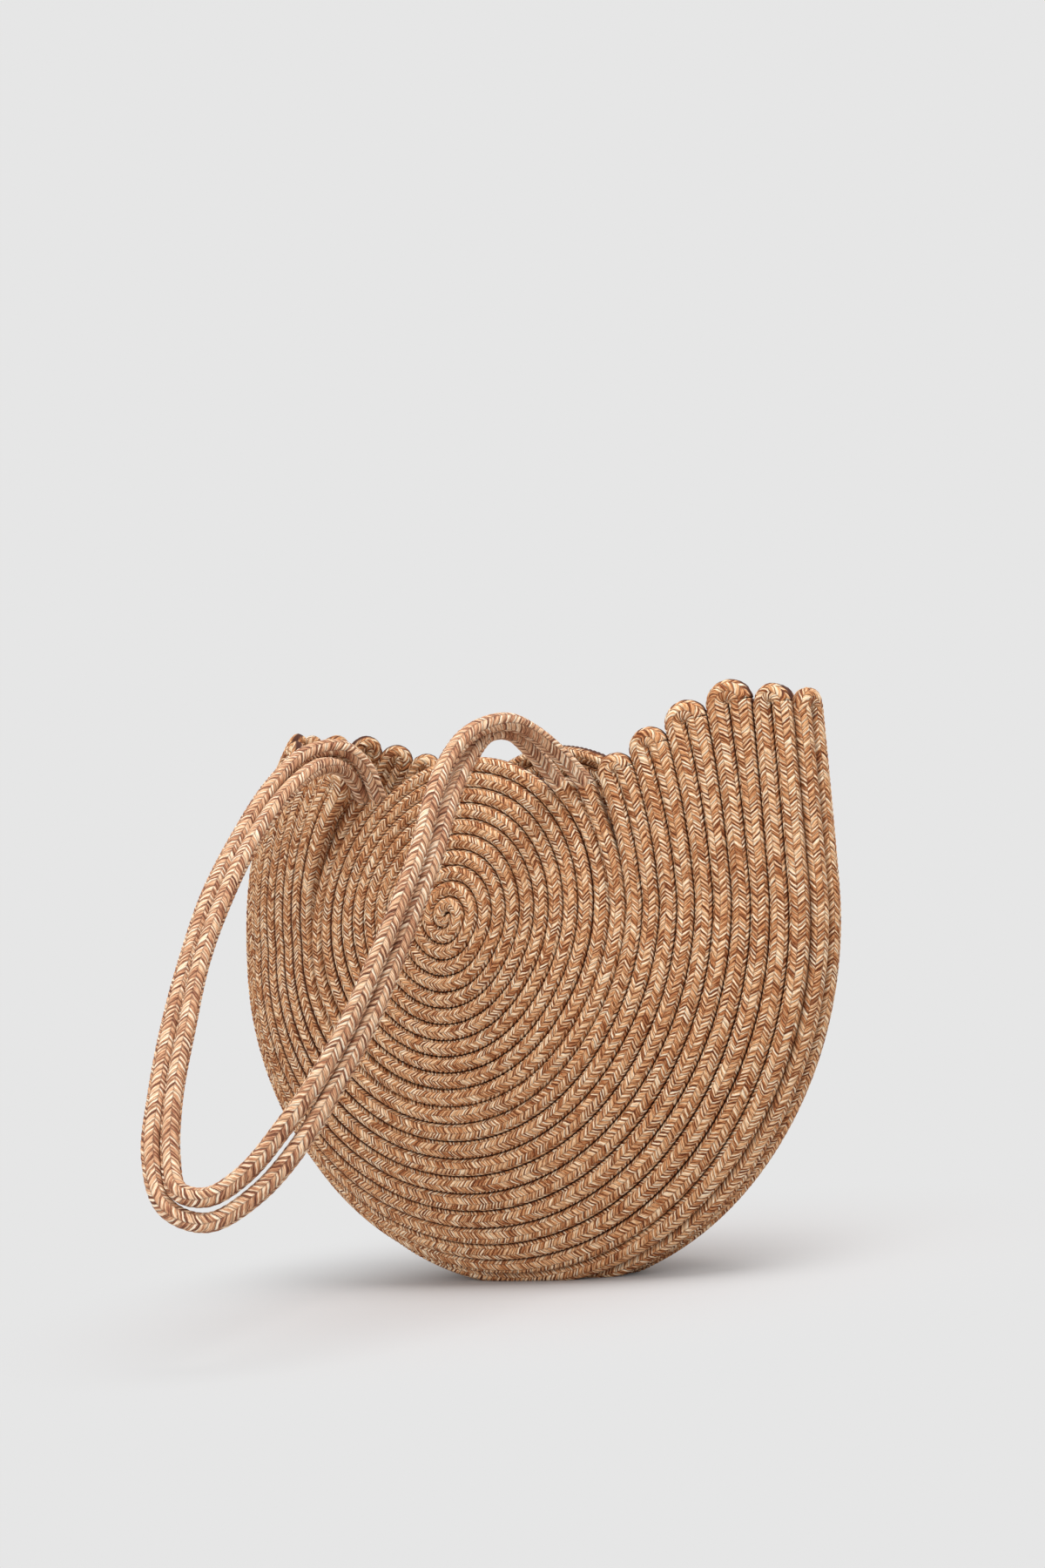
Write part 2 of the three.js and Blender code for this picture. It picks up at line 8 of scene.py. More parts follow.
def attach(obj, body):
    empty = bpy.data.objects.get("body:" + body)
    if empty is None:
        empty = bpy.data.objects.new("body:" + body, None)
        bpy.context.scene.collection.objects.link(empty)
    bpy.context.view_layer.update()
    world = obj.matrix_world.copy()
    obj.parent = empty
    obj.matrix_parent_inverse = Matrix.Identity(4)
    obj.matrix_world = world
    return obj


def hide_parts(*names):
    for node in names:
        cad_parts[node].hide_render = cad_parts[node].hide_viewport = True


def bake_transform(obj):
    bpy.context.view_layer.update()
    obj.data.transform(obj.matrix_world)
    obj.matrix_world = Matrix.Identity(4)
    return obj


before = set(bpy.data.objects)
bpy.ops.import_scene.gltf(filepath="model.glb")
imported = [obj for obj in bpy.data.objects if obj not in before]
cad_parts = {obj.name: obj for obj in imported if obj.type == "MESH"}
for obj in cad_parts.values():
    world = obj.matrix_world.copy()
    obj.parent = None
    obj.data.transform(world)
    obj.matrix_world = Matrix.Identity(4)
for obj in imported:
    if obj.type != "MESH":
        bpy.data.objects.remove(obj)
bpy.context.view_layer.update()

# Shoulder bag sewn from one thick braided straw cord, with the braid's plaits on every row
# Millimetres, +Z up, +X along the width, front panel towards -Y, and angles clockwise from the top

# The viewpoint of the photograph: its place in metres, and its directions
CAMERA_PLACE = (0.91178, -0.92640, 0.18423)
CAMERA_RIGHT = (0.71578, 0.68746, -0.12269)
CAMERA_UP = (0.13852, 0.03243, 0.98983)
CAMERA_LENS = 52.05
SENSOR_HEIGHT = 36

# The cord and its rows
CORD_THICKNESS = 9.7  # through the wall of the bag
ROW_PITCH = 9.0  # from one row to the next, in the discs
OUTER_SPREAD = 0.13  # share by which the outermost rows lie further apart
SPREAD_START = 10.0  # rows from the middle, where that begins
SPREAD_LENGTH = 10.0  # rows over which it grows
FIRST_ROW = 11  # first row round the disc
LAST_ROW = 23  # last row before the middle plane
HALF_ROWS = 23.69  # rows from a disc's middle to the bag's middle plane
LAST_ROW_PLACE = 23.15  # where the last row's middle lies, in rows
LEFT_SHIFT = 0.12  # rows by which the inner rows give way to the disc on the left
ROOT_ROW_SHARE = 0.7  # share of that which the first row takes

# The discs
COIL_START = -0.15  # rows from the middle, where the cord begins with a taper that closes the middle
COIL_PHASE = -0.3  # rows at angle zero of turn zero
DISC_ROWS = 10  # full turns in a disc
DISC_SHIFT_X = -1.5  # the disc's middle against the middle of the U rows
DISC_SHIFT_Z = 6.0
FRONT_COIL_END = 321.0  # degrees, where the strap begins
BACK_COIL_END = 93.6  # degrees past the last full turn, where the first back row ends

# The panels
PANEL_DEPTH = 53.5  # from the middle plane to a disc's middle
TILT_RIGHT = 30.5  # how far the panel leans in towards its right side
TILT_TOP = 54.0  # and towards its top
BENDS = (-0.5, 34.0, 82.0, 56.0)  # how far it curves inward, at the top, right, bottom and left
EDGES = (6.0, 9.25, 7.25, 10.2)  # the greater, the later it turns over to the middle plane there
STEEPEST = 76  # degrees, steepest slope of the wall towards the middle plane
ROUND_START = 21.45  # row from which the wall rounds off to that slope
ROUND_LENGTH = 1.55
WARP_X = 0.075  # the whole bag is pushed askew, backwards by this share of the way to the right
WARP_Z = 0.03  # and by this share of the height above the disc's middle
WARP_MIDDLE = -5.4  # how far forward the middle plane is pushed at the disc's middle

# The wings beside the discs
RIGHT_WING_TOP = 102.0
RIGHT_WING_PEAK = 19.0  # the row, counted from the disc's middle, that reaches it
RIGHT_RISE = 5.3  # each row nearer to the disc ends this much lower
RIGHT_FALL = 2.0  # and each row past the peak this much
LEFT_WING_TOP = 122.0
LEFT_WING_PEAK = 21.0
LEFT_RISE = 4.0
RIGHT_LEAN_INNER = 210.0  # radius to which the rows bend inward above the disc's middle
RIGHT_LEAN_OUTER = 5000.0
LEAN_START = 12.65  # row from which the right wing's bend eases off
LEAN_LENGTH = 8.0  # and the rows over which it does
LOOP_RISE = 1.15  # height of a turning loop against half its width
LEFT_LEAN = 212.0  # radius to which the outermost left row bends, round a centre that the others share
LEFT_OPENING = 0.15  # share of its depth that the left wing gains in OPENING_HEIGHT
OPENING_HEIGHT = 100.0

# How it stands
ORIGIN_Y = -25.5  # the origin is under the last front row, this far behind the discs' line of middles
LEAN_BACK = 3  # degrees
DISC_HEIGHT = 198.5  # front disc's middle above the floor
FLAT_CUT = 0.97  # depth of the flat worn into a row where it rests
PRESS_BLEND = 3.0  # height over which a pressed row turns its flat side down

# The strap
STRAP_CORD = 9.5
ROOT_LEFT = (-73.5, -44.8, 83.5)  # two points of the line on which the strap folds
ROOT_RIGHT = (88.0, -27.0, 70.0)
ROOT_ROW_START = 44.5  # degrees, where the first U row begins and ends
ROOT_ROW_END = 318.0
ROOT_STEER = 45.0  # length over which a row swings into its strap cord
INNER_ROOT_LEFT_X = -61.5
OUTER_ROOT_LEFT_X = -73.5
INNER_ROOT_RIGHT_X = 70.0
OUTER_ROOT_RIGHT_X = 88.0
STRAP_OUT = (0.0, -0.3, 1.0)  # the outer side of a strap cord at its right root
# Points of each cord between its roots, from right to left, measured from the disc's middle
INNER_STRAP = [
    (68, -36, 82), (71, -51, 93), (75, -69, 102), (79, -91, 101), (85, -116, 85), (91, -138, 63),
    (96, -157, 38), (96, -174, 14), (94, -190, -11), (90, -207, -38), (82, -225, -65),
    (71, -243, -92), (56, -262, -114), (36, -278, -125), (15, -286, -116), (1, -281, -93),
    (-11, -264, -63), (-23, -242, -30), (-35, -217, 2), (-43, -192, 34), (-49, -162, 65),
    (-54, -130, 93), (-57, -99, 111), (-57, -72, 113), (-58, -55, 102),
]
OUTER_STRAP = [
    (84, -35, 82), (84, -59, 99), (88, -86, 106), (88, -114, 100), (91, -137, 84), (95, -154, 65),
    (97, -169, 41), (97, -185, 17), (94, -201, -8), (89, -217, -34), (80, -233, -60),
    (67, -250, -84), (53, -266, -104), (37, -277, -113), (21, -282, -109), (10, -276, -94),
    (-1, -262, -66), (-11, -242, -34), (-23, -218, 0), (-31, -193, 30), (-39, -163, 60),
    (-44, -130, 87), (-50, -101, 101), (-58, -78, 103), (-65, -61, 98),
]

# The braid
BAG_STITCH = 3.3  # length of cord from one plait to the next
STRAP_STITCH = 4.2
BAG_COLUMNS = 8  # columns of plaits round the cord
STRAP_COLUMNS = 6
COLUMN_LAG = 1 / 3  # stitches by which every other column lags
RELIEF = 0.42  # how far a plait stands up
RELIEF_INSIDE = 0.6  # share of that which lies within the cord's own width
RIDGE_POWER = 2.2  # the greater, the flatter a plait's top
SIDE_HEIGHT = 0.55  # a plait's height at the edges of its column, as a share
SIDE_POWER = 0.7  # the smaller, the sooner it rises from there
FLATNESS = 0.96  # 1 is a round cord, and less has flatter sides
END_ROUNDING = 2.0  # length over which a cord's free end is rounded
END_FACE = 0.2  # rings from that end to the first ring
WIDEST_FILL = 7.0  # gap that the first two rows still close beside the strap's left roots
PARTED = 11.0  # gap that they leave open
COLUMN_TURN = 0.4  # columns by which the braid is turned on the bag's left, so that the painted shade on its sides shows
TURN_START = -40.0  # where that begins along the width
TURN_LENGTH = 60.0  # and the width over which it grows
# The plait columns are counted from here, and from a higher number in the cords with open grooves, where the
# painted shade on the sides is weaker
FIRST_COLUMN = 8
OPEN_FIRST_COLUMN = 20
OPEN_FROM = 18.0  # columns with a number above this have open grooves, with weaker painted shade on the sides
OPEN_GROOVES = ("_22", "_23", "front_row_11", "front_row_12")

# The straw
STRAWS_PER_PLAIT = 3.0
STRAW_SEED = 7.0
BY_TURNS = 0.3  # share of a straw's tone that pale and dark ones take by turns
FIBRES_PER_PLAIT = 9.0
FIBRE_CHANGES = 1.3  # across a column
FIBRE_SEEDS = 50.0
WANDER = 0.5  # stitches by which plaits wander along the cord
WANDER_SCALE = 0.9
PLAIT_SHARE = 0.1  # how much the tones of plaits, straws and fibres count
STRAW_SHARE = 0.62
FIBRE_SHARE = 1.3
TONE_START = -0.51
TONE_MIDDLE = 0.55  # the tone that more contrast leaves as it is
STRAW_TONES = [
    (0.08, (104, 56, 34)),
    (0.28, (163, 103, 70)),
    (0.46, (203, 148, 107)),
    (0.66, (231, 190, 149)),
    (0.88, (248, 229, 202)),
]
# Colour of the painted shade in the gaps between plaits and on the cords' sides
PAINTED_SHADE_COLOUR = (72, 38, 24)
GAP_LIGHT = 0.28  # share of the straw's colour that is left in a gap between plaits, under the painted shade
EDGE_RISE = 3.2  # the greater, the narrower that gap
SIDE_RISE = 2.6
SIDE_START = 0.35
SIDE_SHADE_RISE = 2.86  # the greater, the sharper the edge of the painted shade on the cords' sides
OPEN_CLEAR = 0.75  # how clear of painted shade the sides stay in open grooves
STRAW_HEIGHT = 0.25  # how much a pale straw stands up above a dark one
BUMP_STRENGTH = 0.9
BUMP_HEIGHT = 0.0006  # metres
ROUGHNESS = 0.72
SPECULAR = 0.3

# The surroundings, in metres
BACKGROUND = (230, 230, 230)
FLOOR_COLOUR = (196, 194, 194)
FADE_START = 0.02  # from the bag's middle
FADE_END = 0.34
FLOOR_REACH = 6
LIGHT_AIM = (0, 0, 0.1)

# Fineness
ARC_STEPS = 96  # to a full turn
LEG_STEPS = 14
HAIRPIN_STEPS = 12
PROFILE_STEPS = 192  # along the wall's section
HALVINGS = 40  # in the search for the scale of the section's slopes
MOST_SCALE = 4.0  # where that search starts from above
SAME_DIGITS = 6  # sections that agree to this many decimals are one
SLIVER = 1e-6  # of a step, by which a row's place stays inside the last one
STRAP_STEPS = 12  # from one point of the strap to the next
RINGS_PER_STITCH = 3
SIDES = 24  # of a cord
ROW_NUDGE = 0.1  # rows
ANGLE_NUDGE = 0.02  # radians
TURN_NUDGE = 0.01  # turns
HEIGHT_NUDGE = 1.0
EDGE_ON = 0.2  # a wall whose outward direction has no more than this along Y is seen edge on
LEAST_STEP = 0.05  # nearer stations count as one

FULL = 2 * math.pi
RIGHT = math.pi / 2
LEFT = 1.5 * math.pi
CIRCLE = 360  # degrees
METRE = 1000

# What a station of a cord holds: its place, the outward direction there, and the cord's two measures
PLACE = slice(0, 3)
OUT = slice(3, 6)
WIDTH = 6
THICKNESS = 7


def clamp(x, low, high):
    return min(max(x, low), high)


def smooth(x):
    x = clamp(x, 0, 1)
    return x * x * (3 - 2 * x)


def unit(vectors):
    return vectors / np.linalg.norm(vectors, axis=1)[:, None]


def add_camera():
    data = bpy.data.cameras.new("camera")
    camera = bpy.data.objects.new("camera", data)
    bpy.context.scene.collection.objects.link(camera)
    right = Vector(CAMERA_RIGHT).normalized()
    up = Vector(CAMERA_UP).normalized()
    back = right.cross(up).normalized()
    turned = Matrix((right, up, back)).transposed()
    camera.matrix_world = Matrix.Translation(CAMERA_PLACE) @ turned.to_4x4()
    data.sensor_fit = "VERTICAL"
    data.sensor_height = SENSOR_HEIGHT
    data.lens = CAMERA_LENS
    bpy.context.scene.camera = camera


add_camera()


def row_length(row):
    """The length of wall that one row takes there."""
    return ROW_PITCH * (1 + OUTER_SPREAD * clamp((row - SPREAD_START) / SPREAD_LENGTH, 0, 1))


def around(angle, values):
    """A value between those at the top, right, bottom and left."""
    top, right, bottom, left = values
    cos, sin = math.cos(angle), math.sin(angle)
    return (top if cos > 0 else bottom) * cos * cos + (right if sin > 0 else left) * sin * sin


# The wall's section, in equal steps of rows from the disc's middle to the middle plane
WALL_ROWS = (np.arange(PROFILE_STEPS) + 0.5) / PROFILE_STEPS * HALF_ROWS
WALL_LENGTHS = np.array([row_length(row) for row in WALL_ROWS]) * HALF_ROWS / PROFILE_STEPS
WALL_LENGTH = WALL_LENGTHS.sum()
MOST_SLOPE = math.sin(math.radians(STEEPEST))
ROUNDING = np.array([smooth((row - ROUND_START) / ROUND_LENGTH) for row in WALL_ROWS]) * MOST_SLOPE
profiles = {}


def wall_slopes(plain, scale):
    return np.maximum(np.minimum(plain * scale, MOST_SLOPE), ROUNDING)


def profile(angle, share):
    """The wall's section there: how far out and how deep it is at each step of rows."""
    key = (round(angle, SAME_DIGITS), round(share, SAME_DIGITS))
    if key not in profiles:
        tilt = TILT_RIGHT * math.sin(angle) + TILT_TOP * math.cos(angle)
        bend = around(angle, BENDS)
        edge = around(angle, EDGES)
        rim = PANEL_DEPTH - tilt - bend
        t = WALL_ROWS / HALF_ROWS
        plain = (tilt + 2 * bend * t + rim * edge * t ** (edge - 1)) / WALL_LENGTH
        # The slopes are scaled until the wall just reaches the middle plane
        low, high = 0.0, MOST_SCALE
        for _ in range(HALVINGS):
            middle = (low + high) / 2
            if (wall_slopes(plain, middle) * WALL_LENGTHS).sum() > PANEL_DEPTH * share:
                high = middle
            else:
                low = middle
        slopes = wall_slopes(plain, low)
        radius = np.concatenate([[0], np.cumsum(WALL_LENGTHS * np.sqrt(1 - slopes**2))])
        depth = PANEL_DEPTH * share - np.concatenate([[0], np.cumsum(WALL_LENGTHS * slopes)])
        profiles[key] = (radius, depth)
    return profiles[key]


def wall(row, angle, share=1.0):
    """How far from the disc's middle a row lies, and how deep in front of the middle plane."""
    radius, depth = profile(angle, share)
    place = clamp(row / HALF_ROWS * PROFILE_STEPS, 0, PROFILE_STEPS - SLIVER)
    i = int(place)
    mix = place - i
    return radius[i] + (radius[i + 1] - radius[i]) * mix, depth[i] + (depth[i + 1] - depth[i]) * mix


def bowl_point(row, angle, side):
    """A point of the round part, on the front where side is -1 and on the back where it is 1."""
    radius, depth = wall(row, angle)
    return np.array((radius * math.sin(angle), side * depth, radius * math.cos(angle)))


def wing_bend(row, radius, hand):
    """The radius to which a row of the right wing (hand 1) or the left one (-1) bends inward."""
    if hand < 0:
        return LEFT_LEAN - wall(HALF_ROWS, LEFT)[0] + radius
    outer = clamp((row - LEAN_START) / LEAN_LENGTH, 0, 1)
    return 1 / ((1 - outer) / RIGHT_LEAN_INNER + outer / RIGHT_LEAN_OUTER)


def hand_angle(hand):
    return RIGHT if hand > 0 else LEFT


def wing_point(row, height, hand, side):
    """A point of a wing, at a height above the disc's middle."""
    share = 1.0 if hand > 0 else 1 + LEFT_OPENING * height / OPENING_HEIGHT
    radius, depth = wall(row, hand_angle(hand), share)
    bend = wing_bend(row, radius, hand)
    lean = bend - math.sqrt(bend * bend - height * height)
    return np.array((hand * (radius - lean), side * depth, height))


def disc_angle(turns, side):
    return (-side * turns * FULL) % FULL


def row_place(row, angle, side):
    """How many rows from the disc's middle a numbered row lies there."""
    seen = angle if side < 0 else FULL - angle
    shift = (DISC_SHIFT_X * math.sin(seen) + DISC_SHIFT_Z * math.cos(seen)) / ROW_PITCH
    disc = DISC_ROWS + COIL_PHASE + seen / FULL + shift
    even = disc + (row - DISC_ROWS) * (LAST_ROW_PLACE - disc) / (LAST_ROW - DISC_ROWS)
    share = ROOT_ROW_SHARE if row == FIRST_ROW else (LAST_ROW - row) / (LAST_ROW - FIRST_ROW)
    return even + LEFT_SHIFT * share * smooth((angle - math.pi) / RIGHT)


def row_spacing(angle, side):
    """The distance between neighbouring rows there, in rows of the disc."""
    return row_place(LAST_ROW, angle, side) - row_place(LAST_ROW - 1, angle, side)


def wing_top(row, hand):
    """The height above the disc's middle at which a row ends."""
    if hand < 0:
        return LEFT_WING_TOP - LEFT_RISE * max(LEFT_WING_PEAK - row, 0)
    past = row - RIGHT_WING_PEAK
    return RIGHT_WING_TOP - (-past * RIGHT_RISE if past < 0 else past * RIGHT_FALL)


def leg_top(row, middle, hand):
    """The height of a leg's top, square to the leaning loop whose middle is given."""
    angle = hand_angle(hand)
    top = wing_top(middle, hand)
    radius = wall(middle, angle)[0]
    return top + (wall(row, angle)[0] - radius) * top / wing_bend(middle, radius, hand)


LEAN_COS = math.cos(math.radians(LEAN_BACK))
LEAN_SIN = math.sin(math.radians(LEAN_BACK))
LOWEST = CORD_THICKNESS / 2 - FLAT_CUT


def stand(p):
    """Pushes a point askew, leans it back and lifts it to its height."""
    y = p[1] + WARP_X * p[0] + WARP_Z * p[2] + WARP_MIDDLE
    return np.array((p[0], y * LEAN_COS + p[2] * LEAN_SIN, p[2] * LEAN_COS - y * LEAN_SIN + DISC_HEIGHT))


def station(point_at, row, side, ahead, spacing):
    """One station of a cord: its place, the wall's outward direction and the width it has there."""
    point = stand(point_at(row))
    across = (stand(point_at(row + ROW_NUDGE)) - stand(point_at(row - ROW_NUDGE))) / (2 * ROW_NUDGE)
    out = np.cross(across, stand(ahead) - point)
    out /= np.linalg.norm(out)
    if abs(out[1]) <= EDGE_ON:
        outward = out[0] * point[0] + out[2] * (point[2] - DISC_HEIGHT)
    else:
        outward = out[1] * side
    if outward < 0:
        out = -out
    pressed = clamp((LOWEST - point[2]) / PRESS_BLEND, 0, 1)
    point[2] = max(point[2], LOWEST)
    out = out * (1 - pressed) + np.array((0, 0, -1.0)) * pressed
    return np.concatenate([point, out / np.linalg.norm(out), [np.linalg.norm(across) * spacing]])


def bowl_station(row, angle, side):
    ahead = bowl_point(row, angle + ANGLE_NUDGE, side)
    return station(lambda r: bowl_point(r, angle, side), row, side, ahead, row_spacing(angle, side))


def wing_station(row, height, hand, side):
    ahead = wing_point(row, height + HEIGHT_NUDGE, hand, side)
    spacing = row_spacing(hand_angle(hand), side)
    return station(lambda r: wing_point(r, height, hand, side), row, side, ahead, spacing)


def hairpin(first, second, hand, side):
    """The loop in which one row turns back into another at the top of a wing."""
    angle = hand_angle(hand)
    a = row_place(first, angle, side)
    b = row_place(second, angle, side)
    middle = (a + b) / 2
    radius = row_length(middle) * abs(b - a) / 2
    stations = []
    for i in range(1, HAIRPIN_STEPS):
        turned = math.pi * i / HAIRPIN_STEPS
        row = middle + (a - b) / 2 * math.cos(turned)
        rise = LOOP_RISE * radius * math.sin(turned)
        stations.append(wing_station(row, leg_top(row, middle, hand) + rise, hand, side))
    return stations


def leg(row, mate, hand, side):
    """The stretch of a row from the height of the disc's middle up to its loop."""
    angle = hand_angle(hand)
    place = row_place(row, angle, side)
    top = leg_top(place, (place + row_place(mate, angle, side)) / 2, hand)
    return [wing_station(place, top * (i + 1) / LEG_STEPS, hand, side) for i in range(LEG_STEPS)]


def mates(row):
    """The rows that a row turns back into on the right and left. The last one has none on the right."""
    if row % 2 == 1:
        return min(row + 1, LAST_ROW), row - 1
    return row - 1, row + 1


def row_path(row, side, left_leg=True, loop=0):
    """A U row from right to left, with a loop on the right where loop is 1 or on the left where it is -1."""
    right_mate, left_mate = mates(row)
    stations = leg(row, right_mate, 1, side)[::-1]
    for i in range(ARC_STEPS // 2 + 1):
        angle = RIGHT + i * FULL / ARC_STEPS
        stations.append(bowl_station(row_place(row, angle, side), angle, side))
    if left_leg:
        stations += leg(row, left_mate, -1, side)
    if loop > 0:
        stations = hairpin(row, right_mate, 1, side)[::-1] + stations
    if loop < 0:
        stations = stations + hairpin(row, left_mate, -1, side)
    return stations


def disc_path(side, end_turns):
    """The coil of a disc, from its middle outward."""
    start = COIL_START - COIL_PHASE
    steps = round((end_turns - start) * ARC_STEPS / 2)
    shift = np.array((-side * DISC_SHIFT_X, 0, DISC_SHIFT_Z))
    stations = []
    for i in range(steps + 1):
        turns = start + (end_turns - start) * i / steps
        angle = disc_angle(turns, side)
        # The first stretch is as wide as the room between the disc's middle and its own outer edge
        width = min(turns + COIL_PHASE + 0.5, 1)
        row = turns + COIL_PHASE + (1 - width) / 2
        ahead = bowl_point(row, disc_angle(turns + TURN_NUDGE, side), side) + shift
        stations.append(station(lambda r: bowl_point(r, angle, side) + shift, row, side, ahead, width))
    return stations


def root_point(x):
    """The point of the strap's fold line at that place along the width."""
    share = (x - ROOT_LEFT[0]) / (ROOT_RIGHT[0] - ROOT_LEFT[0])
    point = np.array(ROOT_LEFT) + share * (np.array(ROOT_RIGHT) - np.array(ROOT_LEFT))
    return point + (0, 0, DISC_HEIGHT)


def steer_to(path, target):
    """Swings the end of a path on to a strap root."""
    points = np.array([s[PLACE] for s in path])
    gaps = np.linalg.norm(np.diff(points, axis=0), axis=1)
    from_end = np.concatenate([np.cumsum(gaps[::-1])[::-1], [0]])
    move = target - points[-1]
    for s, length in zip(path, from_end):
        s[PLACE] += move * smooth(1 - length / ROOT_STEER)
    return path


def root_row_path():
    """The first front row, which runs from a root of the inner strap cord to one of the outer cord."""
    first = math.radians(ROOT_ROW_START)
    last = math.radians(ROOT_ROW_END)
    steps = round((last - first) / FULL * ARC_STEPS)
    angles = [first + (last - first) * i / steps for i in range(steps + 1)]
    path = [bowl_station(row_place(FIRST_ROW, angle, -1), angle, -1) for angle in angles]
    steer_to(path, root_point(OUTER_ROOT_LEFT_X))
    return steer_to(path[::-1], root_point(INNER_ROOT_RIGHT_X))[::-1]


def bridge_path():
    """The loop in which the last front row crosses the middle plane into the last back row."""
    row = row_place(LAST_ROW, RIGHT, -1)
    front = wing_point(row, wing_top(row, 1), 1, -1)
    radius = -front[1]
    stations = []
    for i in range(1, HAIRPIN_STEPS):
        turned = math.pi * i / HAIRPIN_STEPS
        place = stand((front[0], -radius * math.cos(turned), front[2] + radius * math.sin(turned)))
        stations.append(np.concatenate([place, (1.0, 0, 0), [2 * radius]]))
    return stations


def front_row_path(row):
    """A front row, in the direction in which the one long cord runs through it."""
    odd = row % 2 == 1
    if row == LAST_ROW:
        return (bridge_path()[::-1] + row_path(row, -1))[::-1]
    path = row_path(row, -1, loop=1 if odd else -1)
    if row == FIRST_ROW + 1:
        # This row comes from a root of the outer strap cord
        root = root_point(OUTER_ROOT_RIGHT_X)
        below = next(i for i, s in enumerate(path) if s[2] < root[2])
        return steer_to(path[below:][::-1], root)[::-1]
    return path[::-1] if odd else path


def back_row_path(row):
    """A back row, in the direction in which the one long cord runs through it."""
    if row == FIRST_ROW:
        return row_path(row, 1, left_leg=False)
    if row % 2 == 1:
        return row_path(row, 1, loop=-1)
    return row_path(row, 1, loop=1)[::-1]


def bag_paths():
    """Each row's name and path, in the order in which one long cord runs through the bag."""
    front_disc = disc_path(-1, DISC_ROWS + FRONT_COIL_END / CIRCLE)
    paths = [("front_disc_coil", steer_to(front_disc, root_point(INNER_ROOT_LEFT_X)))]
    paths.append((f"front_row_{FIRST_ROW}", root_row_path()))
    for row in range(FIRST_ROW + 1, LAST_ROW + 1):
        paths.append((f"front_row_{row}", front_row_path(row)))
    for row in range(LAST_ROW, FIRST_ROW - 1, -1):
        paths.append((f"back_row_{row}", back_row_path(row)))
    paths.append(("back_disc_coil", disc_path(1, DISC_ROWS + 1 + BACK_COIL_END / CIRCLE)[::-1]))
    # Past the strap's roots, each row runs on to where the next begins
    for (_, path), (_, following) in zip(paths[2:-1], paths[3:]):
        path.append(following[0].copy())
    return paths


def resample(stations, step):
    """Evenly spaced stations on a smooth curve through the given ones."""
    s = np.array(stations)
    steps = np.linalg.norm(np.diff(s[:, PLACE], axis=0), axis=1)
    s = s[np.concatenate([[True], steps > LEAST_STEP])]
    at = np.concatenate([[0], np.cumsum(np.linalg.norm(np.diff(s[:, PLACE], axis=0), axis=1))])
    count = max(round(at[-1] / step), 2)
    wanted = np.linspace(0, at[-1], count + 1)
    # Cubic Hermite pieces with slopes from the neighbours
    slope = np.gradient(s, at, axis=0)
    i = np.clip(np.searchsorted(at, wanted, side="right") - 1, 0, len(at) - 2)
    h = (at[i + 1] - at[i])[:, None]
    t = ((wanted - at[i]) / (at[i + 1] - at[i]))[:, None]
    t2 = t * t
    t3 = t * t * t
    start = (2 * t3 - 3 * t2 + 1) * s[i] + (t3 - 2 * t2 + t) * (slope[i] * h)
    return start + (3 * t2 - 2 * t3) * s[i + 1] + (t3 - t2) * (slope[i + 1] * h)


def smooth_curve(stations):
    """Centripetal Catmull-Rom pieces through the stations."""
    p = [2 * stations[0] - stations[1]] + stations + [2 * stations[-1] - stations[-2]]
    fine = []
    for i in range(1, len(p) - 2):
        k = [0.0]
        for a, b in zip(p[i - 1:i + 2], p[i:i + 3]):
            k.append(k[-1] + math.sqrt(np.linalg.norm(b[PLACE] - a[PLACE])))
        for t in np.linspace(k[1], k[2], STRAP_STEPS, endpoint=False):
            a1 = ((k[1] - t) * p[i - 1] + t * p[i]) / k[1]
            a2 = ((k[2] - t) * p[i] + (t - k[1]) * p[i + 1]) / (k[2] - k[1])
            a3 = ((k[3] - t) * p[i + 1] + (t - k[2]) * p[i + 2]) / (k[3] - k[2])
            b1 = ((k[2] - t) * a1 + t * a2) / k[2]
            b2 = ((k[3] - t) * a2 + (t - k[1]) * a3) / (k[3] - k[1])
            fine.append(((k[2] - t) * b1 + (t - k[1]) * b2) / (k[2] - k[1]))
    fine.append(p[-2])
    return fine


def round_end(rings, step, at_start):
    """Rounds a cord's free end by narrowing its last rings."""
    order = range(len(rings)) if at_start else range(len(rings) - 1, -1, -1)
    for count, i in enumerate(order):
        share = min((count + END_FACE) * step / END_ROUNDING, 1)
        rings[i, [WIDTH, THICKNESS]] *= math.sqrt(1 - (1 - share) ** 2)


def swell_together(first, second):
    """Widens two neighbouring rows towards each other where the strap's roots have pulled them apart."""
    apart = second[None, :, PLACE] - first[:, None, PLACE]
    distances = np.linalg.norm(apart, axis=2)
    widths = (first[:, None, WIDTH] + second[None, :, WIDTH]) / 2
    changes = []
    for rings, axis, sign in ((first, 1, 1), (second, 0, -1)):
        nearest = distances.argmin(axis=axis)
        own = np.arange(len(rings))
        at = (own, nearest) if axis == 1 else (nearest, own)
        gap = distances[at] - widths[at]
        fill = np.clip(gap, 0, WIDEST_FILL) * np.clip((PARTED - gap) / (PARTED - WIDEST_FILL), 0, 1)
        towards = sign * apart[at] / distances[at][:, None]
        # Each row takes half of the gap, all of it on the side of the other
        changes.append((rings, towards * fill[:, None] / 4, fill / 2))
    for rings, move, wider in changes:
        rings[:, PLACE] += move
        rings[:, WIDTH] += wider


def plait_height(along, columns):
    """How far the braid's plaits stand up, from 0 in the grooves to 1."""
    column = np.floor(columns)
    share = columns - column
    way = np.where(column % 2 == 0, 1.0, -1.0)
    phase = along + way * share + (column % 2) * COLUMN_LAG
    p = phase - np.floor(phase)
    ridge = 1 - np.abs(2 * p - 1) ** RIDGE_POWER
    return ridge * (SIDE_HEIGHT + (1 - SIDE_HEIGHT) * np.sin(np.pi * share) ** SIDE_POWER)


def flattened(wave):
    return np.sign(wave) * np.abs(wave) ** FLATNESS


